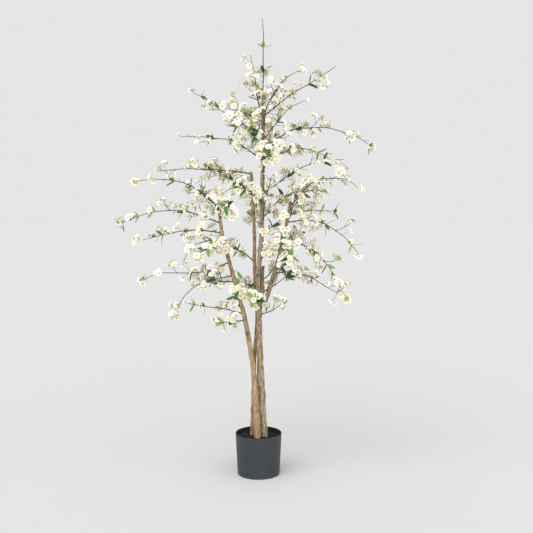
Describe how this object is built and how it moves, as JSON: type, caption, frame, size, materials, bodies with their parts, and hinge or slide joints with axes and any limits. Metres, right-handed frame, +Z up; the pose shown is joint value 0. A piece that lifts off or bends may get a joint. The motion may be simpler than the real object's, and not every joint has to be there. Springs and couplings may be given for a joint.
{
  "type": "artificial cherry blossom tree",
  "caption": "Tall artificial cherry tree with white blossom on thin arching stems, standing on wooden poles in a round dark plastic pot.",
  "frame": {"origin": "centre of the pot's flat underside", "axes": "+Z up along the poles, -Y towards the side that the picture shows, +X to the right as seen from that side"},
  "size_m": [1.232, 0.9203, 2.1408],
  "materials": {
    "pot_plastic": "satin",
    "filling": "matte",
    "grey_wood": "matte",
    "tan_wood": "matte",
    "brown_wood": "matte",
    "sprig": "matte"
  },
  "bodies": {
    "root": {"pot": "pot_plastic", "filling": "filling", "trunk": "grey_wood", "left_pole": "tan_wood", "middle_pole": "brown_wood", "right_bough": "tan_wood", "short_stub": "brown_wood", "trunk_sprig_01": "sprig", "trunk_sprig_02": "sprig", "trunk_sprig_03": "sprig", "trunk_sprig_04": "sprig", "trunk_sprig_05": "sprig", "trunk_sprig_06": "sprig", "middle_pole_sprig_07": "sprig", "left_pole_sprig_08": "sprig", "left_pole_sprig_09": "sprig", "left_pole_sprig_10": "sprig", "left_pole_sprig_11": "sprig", "left_pole_sprig_12": "sprig", "left_pole_sprig_13": "sprig", "left_pole_sprig_14": "sprig", "left_pole_sprig_15": "sprig", "left_pole_sprig_16": "sprig", "trunk_sprig_17": "sprig", "trunk_sprig_18": "sprig", "trunk_sprig_19": "sprig", "trunk_sprig_20": "sprig", "trunk_sprig_21": "sprig", "trunk_sprig_22": "sprig", "right_bough_sprig_23": "sprig", "right_bough_sprig_24": "sprig", "right_bough_sprig_25": "sprig", "right_bough_sprig_26": "sprig", "right_bough_sprig_27": "sprig", "right_bough_sprig_28": "sprig", "trunk_sprig_29": "sprig", "trunk_sprig_30": "sprig", "trunk_sprig_31": "sprig", "trunk_sprig_32": "sprig", "trunk_sprig_33": "sprig", "trunk_sprig_34": "sprig", "trunk_sprig_35": "sprig", "trunk_sprig_36": "sprig", "trunk_sprig_37": "sprig", "trunk_sprig_38": "sprig", "left_pole_sprig_39": "sprig", "left_pole_sprig_40": "sprig", "left_pole_sprig_41": "sprig", "right_bough_sprig_42": "sprig", "trunk_sprig_43": "sprig", "trunk_sprig_44": "sprig", "trunk_sprig_45": "sprig", "trunk_sprig_46": "sprig", "middle_pole_sprig_47": "sprig", "middle_pole_sprig_48": "sprig", "middle_pole_sprig_49": "sprig", "middle_pole_sprig_50": "sprig", "left_pole_sprig_51": "sprig", "right_bough_sprig_52": "sprig", "right_bough_sprig_53": "sprig"}
  },
  "joints": []
}
